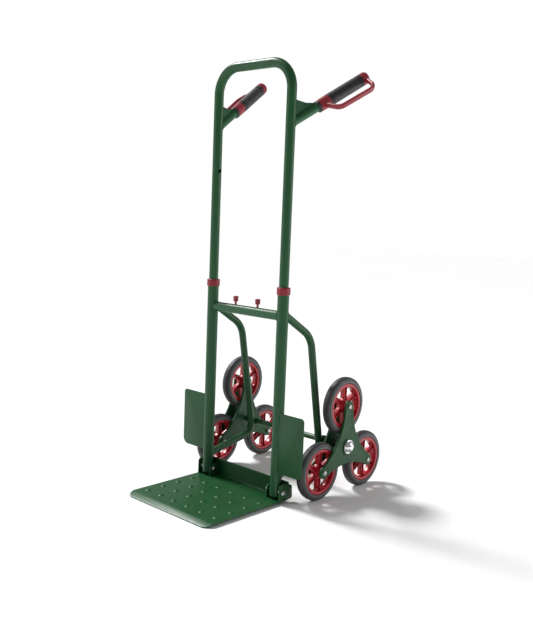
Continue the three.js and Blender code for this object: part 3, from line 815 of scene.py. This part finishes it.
def axle_cap():
    """A push-on cap: a flat flange, a hollow throat and a high dome."""
    base = STAR["outer"] + 0.4
    radius, height = CAP["radius"], CAP["height"]
    dome = 15.6
    profile = [(base, 0), (base, radius - 0.5), (base + 0.5, radius), (base + 3.0, radius)]
    profile += [(base + 3.4, radius - 0.5), (base + 3.2, radius - 1.3), (base + 1.2, radius - 1.8)]
    profile += [(base + 1.2, dome + 0.6), (base + 2.2, dome + 0.1)]
    steps = 12
    for i in range(1, steps + 1):
        angle = i / steps * math.pi / 2
        profile.append((base + 2.6 + (height - 2.6) * math.sin(angle), dome * math.cos(angle)))
    profile[-1] = (base + height, 0)
    return at_axle(turned(profile, "X", 64))


# Telescopic handle


def upper_frame():
    radius, bottom = UPPER_TUBE["radius"], UPPER_TUBE["bottom"]
    bar = TOP_Z - radius
    corners = [(TUBE_X, 0, bottom), (TUBE_X, 0, bar), (-TUBE_X, 0, bar), (-TUBE_X, 0, bottom)]
    route = bent(corners, [UPPER_TUBE["bend"]] * 2, 20)
    tube = swept(route, circle(radius, 44), (0, 1, 0), circle(UPPER_TUBE["bore"], 44))
    holes = []
    for height in (CROSSBAR_Z, UPPER_TUBE["lock_hole"]):
        holes += [pin_hole(height), pin_hole(height).for_side(-1)]
    return carved(tube, *holes)


HANDLE = (Matrix.Translation((TUBE_X, 0, GRIP["root"])) @ Matrix.Rotation(-GRIP["splay"], 4, "Z")
          @ Matrix.Rotation(GRIP["rise"], 4, "X"))
HAND = HANDLE @ Matrix.Rotation(GRIP["droop"], 4, "Y")


def handle_stub():
    radius, bore, end = STUB["radius"], STUB["bore"], STUB["end"]
    tube = turned([(0, bore), (0, radius), (end, radius), (end, bore)], "Y", 44).moved(HANDLE)
    return carved(tube, tube_room(UPPER_TUBE["radius"] - 0.7, 900, 1080))


def stub_weld():
    way = HANDLE.to_3x3() @ Vector((0, 1, 0))
    route = saddle(HANDLE.translation, way, STUB["radius"] + 0.4, TUBE_X, UPPER_TUBE["radius"] + 0.2)
    return bead(route, 1.7)


def on_stub(out, up):
    """(along, above) the stub of a place so far out from the upright and up it."""
    cos, sin = math.cos(GRIP["rise"]), math.sin(GRIP["rise"])
    return (out * cos + up * sin, up * cos - out * sin)


def handle_gusset():
    """The web plate in the corner between the upright and the stub."""
    corners = [(5, 8), (5, 61), (44, 55), (72, 58), (70, 38)]
    outline = rounded([on_stub(*corner) for corner in corners], [0, 1, 14, 2, 0], 6)
    web = plate_x(outline, -1.5, 1.5, 0.5).moved(HANDLE)
    return carved(web, tube_room(UPPER_TUBE["radius"] - 0.7, 900, 1080))


def gusset_welds():
    welds = Form()
    for offset in (-2.2, 2.2):
        rises = [Vector((offset, *on_stub(13.2, 22 + STITCH * i))) for i in range(25)]
        runs = [Vector((offset, 34 + STITCH * i, STUB["radius"] + 0.2)) for i in range(27)]
        for route in (rises, runs):
            welds += bead(route, 1.3, closed=False).moved(HANDLE)
    return welds


def stub_ring():
    seat, end = STUB["radius"] + 0.1, STUB["end"]
    profile = [(end - 7, seat), (end - 7, 11.6), (end - 6.6, 12), (end - 2.4, 15.2)]
    profile += [(end - 1.2, 15.9), (end - 0.4, 16), (end + 0.2, 15.6), (end + 0.2, seat)]
    return turned(profile, "Y", 48).moved(HANDLE)


def grip_core():
    """The red moulding: collar, core and end cap."""
    spigot, collar, sleeve = (GRIP_STATIONS[key] for key in ("spigot", "collar", "sleeve"))
    cap, tip = GRIP_STATIONS["cap"], GRIP_STATIONS["tip"]
    outer = GRIP_RADIUS
    profile = [(spigot, 0), (spigot, 8.6), (collar, 8.6), (collar, outer - 1.6)]
    profile += [(collar + 0.8, outer - 0.9), (collar + 5, outer - 0.8), (collar + 5.5, outer - 1.2)]
    profile += [(collar + 6.3, outer - 1.2), (collar + 6.8, outer - 0.7)]
    profile += [(sleeve - 0.6, outer - 0.2), (sleeve, outer - 0.8), (sleeve, 10.8)]
    profile += [(cap, 10.8), (cap, outer - 0.6), (cap + 0.6, outer), (tip - 7, outer)]
    profile += [(y, r) for r, y in arc((outer - 7, tip - 7), 7, 8, 90, 8)]
    profile += [(tip, 0)]
    return turned(profile, "Y", 56)


def knuckle_guard():
    """The strap round the fingers, in the grip's own XY plane."""
    half_width, half_thick = LOOP["width"] / 2, LOOP["thick"] / 2
    corners = [(-half_width, -half_thick), (half_width, -half_thick), (half_width, half_thick),
               (-half_width, half_thick)]
    section = rounded(corners, 3.2, 5)
    route = bent([(x, y, 0) for x, y in LOOP_CORNERS], [LOOP["bend"] + 4, 18, LOOP["bend"]], 10)
    return swept(route, section, (0, 0, 1))


def grip_sleeve():
    """The rubber sleeve, with shallow rings moulded round both ends."""
    start, end = GRIP_STATIONS["sleeve"] + 0.3, GRIP_STATIONS["cap"] - 0.3
    outer = GRIP_RADIUS
    profile = [(start, 11.2), (start, outer - 1.2), (start + 1.0, outer - 0.2), (start + 3, outer)]
    for first in (start + 5, end - 13):
        for at in (first, first + 3, first + 6):
            profile += [(at, outer), (at + 0.5, outer - 0.6), (at + 1.1, outer - 0.6)]
            profile.append((at + 1.6, outer))
    profile += [(end - 3, outer), (end - 1.0, outer - 0.2), (end, outer - 1.2), (end, 11.2)]
    return turned(profile, "Y", 56)


# Toe plate


def toe_sheet():
    """The bent sheet: ramp, floor, upstand and rolled top lip, with round front corners."""
    half, corner = TOE["half"], TOE["corner"]
    centre = TOE["top"] - SHEET / 2
    rear = TOE["rear"] - SHEET / 2
    upper = TOE_UPSTAND["top"] - SHEET / 2
    corners = [(0, TOE["front"], SHEET / 2), (0, TOE["fold"], centre), (0, rear, centre),
               (0, rear, upper), (0, TOE_UPSTAND["lip"], upper)]
    route = bent(corners, [30, 4, 2.6], 9)
    section = [(-half, -SHEET / 2), (half, -SHEET / 2), (half, SHEET / 2), (-half, SHEET / 2)]
    sheet = swept(route, section, (1, 0, 0))
    plan = rounded([(-half, TOE["front"]), (half, TOE["front"]), (half, 30), (-half, 30)],
                   [corner, corner, 0, 0], 14)
    return kept_inside(sheet, plate(plan, 140, 0.01).shifted(z=60))


def dimple():
    """A round boss pressed up through the sheet."""
    radius, height, top = DIMPLE["radius"], DIMPLE["height"], TOE["top"]
    steps = 8
    profile = [(top - 1, 0), (top - 1, radius)]
    for i in range(steps + 1):
        part = i / steps
        profile.append((top - 0.05 + height * (1 - (1 - part) ** 2) ** 1.2, radius * (1 - part)))
    profile[-1] = (profile[-1][0], 0)
    return turned(profile, "Z", 32)


def toe_ears():
    outer = rounded([(-14, 8), (-13, 50), (0, 55), (36, 45), (38, 12), (32, 8)], [0, 9, 10, 8, 4, 0])
    inner = rounded([(-12, 8), (-12, 44), (22, 44), (22, 8)], [0, 11, 0, 0], 10)
    ears = plate_x(outer, TOE["half"] - SHEET, TOE["half"], 0.5)
    ears += plate_x(inner, INNER_EAR, INNER_EAR + SHEET, 0.5)
    return carved(ears, rod("X", 90, 170, BOLT_HOLE, 24).shifted(z=PIVOT_Z))


def toe_plate():
    form = bevelled(toe_sheet(), 0.55, 2, 50)
    ears = toe_ears()
    form += ears + ears.for_side(-1)
    boss = dimple()
    first_y = TOE["fold"] + 31
    for column in range(DIMPLE["columns"]):
        for row in range(DIMPLE["rows"]):
            x = (column - (DIMPLE["columns"] - 1) / 2) * DIMPLE["pitch_x"]
            form += boss.shifted(x=x, y=first_y + row * DIMPLE["pitch_y"])
    return form


def toe_pivot_bolt():
    """Bolt, washers, spacer and nuts on the toe plate's hinge line."""
    inner = INNER_EAR - 0.3
    spacer_start, spacer_end = TUBE_X + LOWER_TUBE["radius"] + 0.2, TOE["half"] - SHEET - 0.2
    head = TOE["half"] + 0.2
    dome = [(head + 1.4, 0), (head + 1.4, 6.2), (head + 2.4, 6.3), (head + 3.4, 5.4)]
    dome += [(head + 4.1, 3.4), (head + 4.1, 2.6), (head + 3.4, 2.2), (head + 3.4, 0)]
    bolt = rod("X", inner - 7, head + 2, 4, 24) + turned(dome, "X", 40)
    bolt += rod("X", head, head + 1.4, 6.5, 40, 0.3)
    bolt += rod("X", spacer_start, spacer_end, 6.4, 40, 0.4)
    bolt += rod("X", inner - 1.4, inner, 6.5, 40, 0.3)
    bolt += hexagon("X", inner - 7, inner - 1.4, 11)
    return bolt.shifted(z=PIVOT_Z)


# Wheel stars


def star_outline(inset, steps=14):
    """Three round arm ends joined by hollow arcs that are tangent to them."""
    step = STAR["end"] - STAR["waist"]
    hollow_at = (STAR_ARM ** 2 - step ** 2) / (STAR_ARM + 2 * step)
    hollow_radius = hollow_at - STAR["waist"] + inset
    third = math.pi / 3
    end_half = math.atan2(hollow_at * math.sin(third), hollow_at * math.cos(third) - STAR_ARM)
    hollow_half = end_half - third
    points = []
    for at in ARM_ANGLES.values():
        for i in range(steps + 1):
            angle = at - end_half + 2 * end_half * i / steps
            reach = STAR["end"] - inset
            points.append(polar(reach, angle, polar(STAR_ARM, at)))
        back = at + third + math.pi
        for i in range(1, steps):
            angle = back + hollow_half - 2 * hollow_half * i / steps
            points.append(polar(hollow_radius, angle, polar(hollow_at, at + third)))
    return points


def lofted(outlines):
    """Quads between outlines at given depths, with both last outlines filled: (outline, depth)."""
    points = [(depth, y, z) for outline, depth in outlines for y, z in outline]
    count = len(outlines[0][0])
    rings = [range(start, start + count) for start in range(0, len(points), count)]
    return Form(points, skin(rings) + [tuple(rings[0]), tuple(rings[-1])])


def star_plate(face, inward):
    """A pressed plate: round shoulder, turned-in flange and a shallow step inside the edge."""
    sheet, depth = STAR["sheet"], STAR["depth"]
    shape = [
        (sheet + 0.6, sheet), (sheet, sheet + 0.6), (sheet, depth - 0.3), (sheet - 0.3, depth),
        (0.3, depth), (0, depth - 0.3), (0, 2.4), (0.35, 1.2), (1.0, 0.4), (2.0, 0.0),
        (5.4, 0.0), (6.2, 0.25), (7.0, 0.7), (8.0, 0.8),
    ]
    rings = [(star_outline(inset), face + inward * at) for inset, at in shape]
    hub = rod("X", face - 20, face + 20, AXLE["journal"] + 0.4, 32)
    bolt = rod("X", face - 20, face + 20, BOLT_HOLE, 20)
    bolts = [bolt.shifted(0, *polar(STAR_ARM, at)) for at in ARM_ANGLES.values()]
    pressed = carved(lofted(rings), hub, *bolts)
    ring_at = face + inward * 0.8
    profile = [(ring_at + inward * 0.5, 21), (ring_at, 21.4), (ring_at - inward * 1.0, 22.8)]
    profile += [(ring_at - inward * 1.2, 24), (ring_at - inward * 1.0, 25.2)]
    profile += [(ring_at, 26.6), (ring_at + inward * 0.5, 27)]
    return pressed + turned(profile, "X", 56)


def star_hub_sleeve():
    start = STAR["inner"] + STAR["sheet"] + 0.2
    end = STAR["outer"] - STAR["sheet"] - 0.2
    profile = [(start, 7.4), (start, 11.6), (start + 0.5, 12), (end - 0.5, 12), (end, 11.6), (end, 7.4)]
    return turned(profile, "X", 48)


def wheel_bolt():
    """A hollow-ended rivet pin outside, with a washer and nut behind the inner plate."""
    outside, inside = STAR["outer"] + 0.1, STAR["inner"] - 0.2
    head = [(outside, 0), (outside, 6.2), (outside + 1.0, 6.4), (outside + 2.4, 5.6)]
    head += [(outside + 3.2, 4.2), (outside + 3.2, 3.2), (outside + 2.2, 2.4), (outside + 2.2, 0)]
    bolt = rod("X", inside - 6.8, outside + 1, 4, 24) + turned(head, "X", 40)
    bolt += rod("X", inside - 1.3, inside, 6.4, 40, 0.3) + hexagon("X", inside - 6.6, inside - 1.3, 11)
    return bolt


# Wheels

WINDOW = ((20, -13), (51, -23), (52, 0), (51, 23), (20, 13))  # radius, degrees
WINDOW_BENDS = (2.5, 3.5, 30, 3.5, 2.5)


def window(at, growth):
    corners = [polar(radius, at + turn * DEGREE) for radius, turn in WINDOW]
    bends = [bend + growth for bend in WINDOW_BENDS]
    return rounded(grown(corners, growth), bends, 5)


def rim():
    """A moulded wheel: bead ring, web, a raised wall round each window, and the hub."""
    lip = 3.1
    band = [(-11.4, RIM_RADIUS - 4.6), (-11.9, RIM_RADIUS - 3.8), (-11.9, RIM_RADIUS + lip - 0.8)]
    band += [(-11.1, RIM_RADIUS + lip), (-10.3, RIM_RADIUS + lip - 0.8), (-10.1, RIM_RADIUS)]
    band += [(-x, radius) for x, radius in reversed(band)]
    band += [(8.5, RIM_RADIUS - 5.6), (-8.5, RIM_RADIUS - 5.6)]
    form = turned(band, "X", 96)
    windows = [i * math.pi / 3 for i in range(6)]
    disc = circle(RIM_RADIUS - 4, 72)
    bore = circle(8)
    form += plate_x(disc, -2.2, 2.2, 0.05, [bore] + [window(at, 0.6) for at in windows])
    for at in windows:
        form += plate_x(window(at, 1.8), -6.8, 6.8, 0.5, [window(at, 0)])
    hub = [(-19, 6.6), (-19, 10.4), (-18.4, 11), (-9, 12.2), (-8.4, 15.5), (-7.4, 16.2)]
    hub += [(-x, radius) for x, radius in reversed(hub)]
    return form + turned(hub, "X", 48)


def hub_bush():
    """The steel bush pressed into the wheel's hub."""
    profile = [(-18.7, 4.4), (-18.7, 6.3), (-18.2, 6.65), (18.2, 6.65), (18.7, 6.3), (18.7, 4.4)]
    return turned(profile, "X", 32)


def tyre():
    """A solid tyre: seat round the rim, flat bevelled walls and a rounded tread."""
    wall = [(9.9, 58.2), (10.2, 61.2), (11.9, 61.7), (12.6, 62.3), (12.95, 63.4), (12.8, 65)]
    wall += [(12.6, 68.6), (12.2, 69.4), (11.5, 70.0), (11.2, 71.2), (10.6, 73.4), (9.0, 75.6)]
    wall += [(6.6, 77.1), (3.6, 77.8), (0, TYRE_RADIUS)]
    profile = [(-x, radius) for x, radius in wall] + list(reversed(wall[:-1]))
    return turned(profile, "X", 112)


# ------------------------------------------------------------------ putting together


def at_axle(form):
    return form.shifted(y=AXLE_Y, z=AXLE_Z)


def add_shared_pieces():
    add_piece("crossbar", crossbar(), "frame", "green_paint")
    add_piece("axle", axle(), "frame", "green_paint")
    add_piece("upper_frame", upper_frame(), "upper_frame_body", "green_paint")
    add_piece("toe_plate", toe_plate(), "toe_plate_body", "green_paint")


def frame_forms():
    """(name, form, slot) for each fixed piece that both sides have."""
    return [
        ("lower_tube", lower_tube(), "green_paint"),
        ("strut", strut(), "green_paint"),
        ("axle_lug", axle_lug(), "green_paint"),
        ("wheel_guard", wheel_guard(), "green_paint"),
        ("frame_welds", crossbar_welds() + strut_welds() + lug_welds() + guard_welds(), "green_paint"),
        ("slide_collar", slide_collar(), "red_plastic"),
        ("toe_pivot_bolt", toe_pivot_bolt(), "zinc_steel"),
        ("axle_cap", axle_cap(), "chrome_cap"),
    ]


def handle_forms():
    return [
        ("handle_stub", handle_stub(), "green_paint"),
        ("handle_gusset", handle_gusset(), "green_paint"),
        ("handle_welds", stub_weld() + gusset_welds(), "green_paint"),
        ("stub_ring", stub_ring(), "black_plastic"),
        ("grip_core", (grip_core() + knuckle_guard()).moved(HAND), "red_plastic"),
        ("grip_sleeve", grip_sleeve().moved(HAND), "grip_rubber"),
    ]


def add_side(side_name, side, forms, body):
    for name, form, slot in forms:
        add_piece(f"{name}_{side_name}", form.for_side(side), body, slot)


def add_stars(side_name, side, shapes):
    star = f"star_{side_name}"
    for name, slot in (("star_outer_plate", "green_paint"), ("star_inner_plate", "green_paint"),
                       ("star_hub_sleeve", "zinc_steel")):
        add_piece(f"{name}_{side_name}", at_axle(shapes[name]).for_side(side), star, slot)
    for place, at in ARM_ANGLES.items():
        offset = (0, *polar(STAR_ARM, at, (AXLE_Y, AXLE_Z)))
        tag = f"{place}_{side_name}"
        bolt = shapes["wheel_bolt"].shifted(*offset).for_side(side)
        add_piece(f"wheel_bolt_{tag}", bolt, star, "zinc_steel")
        for name, slot in (("rim", "rim_plastic"), ("tyre", "tyre_rubber"),
                           ("hub_bush", "zinc_steel")):
            form = shapes[name].shifted(x=WHEEL_X).shifted(*offset).for_side(side)
            add_piece(f"{name}_{tag}", form, f"wheel_{tag}", slot)


def add_spring(side_name, side):
    """The lock's spring, coiled between the ends of its CAD node and given a mesh of its own; in the
    truck it shortens towards the crossbar's middle as its pin draws back.
    """
    node = f"lock_spring_{side_name}"
    low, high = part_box(node)
    near, far = sorted((abs(low.x), abs(high.x)))
    form = lock_spring(near / MM, far / MM).for_side(side)
    spring = add_piece(node, form, "frame", "spring_steel")
    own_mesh(spring)


def finish_cad_nodes():
    """The hidden pieces keep their CAD shape and get their finish."""
    for side_name in ("left", "right"):
        for node, slot in (("glide_bush", "black_plastic"), ("lock_pin", "zinc_steel")):
            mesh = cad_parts[f"{node}_{side_name}"].data
            mesh.materials.clear()
            mesh.materials.append(MATERIALS[slot])


def add_object():
    add_shared_pieces()
    fixed, handle, knob = frame_forms(), handle_forms(), lock_knob()
    shapes = {
        "star_outer_plate": star_plate(STAR["outer"], -1),
        "star_inner_plate": star_plate(STAR["inner"], 1),
        "star_hub_sleeve": star_hub_sleeve(),
        "wheel_bolt": wheel_bolt(),
        "rim": rim(),
        "hub_bush": hub_bush(),
        "tyre": tyre(),
    }
    for side_name, side in (("left", -1), ("right", 1)):
        add_side(side_name, side, fixed, "frame")
        add_side(side_name, side, handle, "upper_frame_body")
        add_side(side_name, side, [("lock_knob", knob, "red_plastic")], f"lock_{side_name}")
        add_spring(side_name, side)
        add_stars(side_name, side, shapes)
    finish_cad_nodes()


# ------------------------------------------------------------------ stage

SURROUND = 0.28  # the light that the pale room gives the object
KEY_STRENGTH, KEY_ANGLE = 3.85, 14 * DEGREE


def floor_material():
    n = Nodes("pale_floor")
    colour = n.mottled(1.2, 2, (0.88, 0.88, 0.885), (0.9, 0.9, 0.9))
    roughness = n.drift(3, 2, low=0.6, high=0.66)
    return n.finish(colour, roughness, Specular_IOR_Level=0.2)


def add_floor():
    half = 14
    mesh = bpy.data.meshes.new("floor")
    mesh.from_pydata([(-half, -half, 0), (half, -half, 0), (half, half, 0), (-half, half, 0)],
                     [], [(0, 1, 2, 3)])
    mesh.materials.append(floor_material())
    floor = new_object("floor", mesh)


def add_light(name, place, target, size, power):
    data = bpy.data.lights.new(name, "AREA")
    data.shape = "DISK"
    data.size = size
    data.energy = power
    data.specular_factor = 0.15
    light = new_object(name, data)
    light.location = place
    aim = Vector(target) - Vector(place)
    light.rotation_euler = aim.to_track_quat("-Z", "Y").to_euler()


def add_studio():
    """A soft-edged sun high on the left, an even pale surround and a fill light on each side."""
    world = bpy.data.worlds.new("studio")
    world.use_nodes = True
    tree = world.node_tree
    surround = tree.nodes["Background"]
    surround.inputs["Color"].default_value = (1, 1, 1, 1)
    surround.inputs["Strength"].default_value = SURROUND
    backdrop = tree.nodes.new("ShaderNodeBackground")
    backdrop.inputs["Color"].default_value = (1, 1, 1, 1)
    chosen = tree.nodes.new("ShaderNodeMixShader")
    seen = tree.nodes.new("ShaderNodeLightPath").outputs["Is Camera Ray"]
    tree.links.new(seen, chosen.inputs[0])
    tree.links.new(surround.outputs[0], chosen.inputs[1])
    tree.links.new(backdrop.outputs[0], chosen.inputs[2])
    tree.links.new(chosen.outputs[0], tree.nodes["World Output"].inputs["Surface"])
    bpy.context.scene.world = world
    bpy.context.scene.view_settings.view_transform = "Standard"
    sun = bpy.data.lights.new("key", "SUN")
    sun.energy = KEY_STRENGTH
    sun.angle = KEY_ANGLE
    key = new_object("key", sun)
    key.rotation_euler = Vector((1, 0.1, -1.1)).to_track_quat("-Z", "Y").to_euler()
    add_light("left_fill", (-1.9, -2.4, 1.2), (0, 0, 0.5), 1.6, 12)
    add_light("right_fill", (1.9, 1.9, 1.2), (0, 0, 0.5), 1.6, 20)


add_camera()
add_object()
add_floor()
add_studio()
